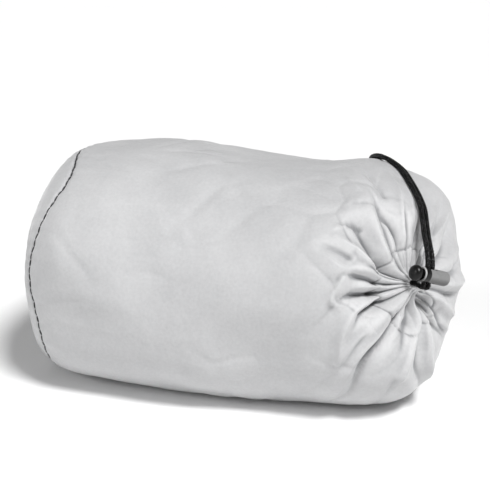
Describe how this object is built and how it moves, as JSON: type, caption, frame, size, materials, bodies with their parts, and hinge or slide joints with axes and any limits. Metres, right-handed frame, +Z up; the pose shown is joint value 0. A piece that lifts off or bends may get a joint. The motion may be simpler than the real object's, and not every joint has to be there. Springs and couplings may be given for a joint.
{
  "type": "emergency sleeping bag",
  "caption": "Emergency sleeping bag packed in its drawstring sack: a full, round-ended cloth bundle lying on its side, with a gathered mouth, drawcord and push-button cord lock.",
  "frame": {"origin": "middle of the box around the bundle without its cord and cord lock, at the floor that it rests on", "axes": "+X runs along the bundle from the round end panel to the gathered end, +Y away from the side where the gathered mouth sits, +Z up"},
  "size_m": [0.2164, 0.1555, 0.1082],
  "materials": {
    "cloth": "light grey thin woven cloth with a soft sheen",
    "cord": "black braided cord",
    "lock": "black moulded plastic, satin"
  },
  "bodies": {
    "sack": {"sack_body": "cloth", "end_panel": "cloth", "drawcord_a": "cord", "drawcord_b": "cord", "cord_knot": "cord", "lock_barrel": "lock"},
    "button": {"lock_button": "lock"}
  },
  "joints": [
    {"name": "button_press", "type": "slide", "parent": "sack", "child": "button", "axis": [0.683, 0.661, -0.311], "range_m": [0, 0.0019], "stiffness_N_per_m": 800, "springref_m": -0.001}
  ]
}
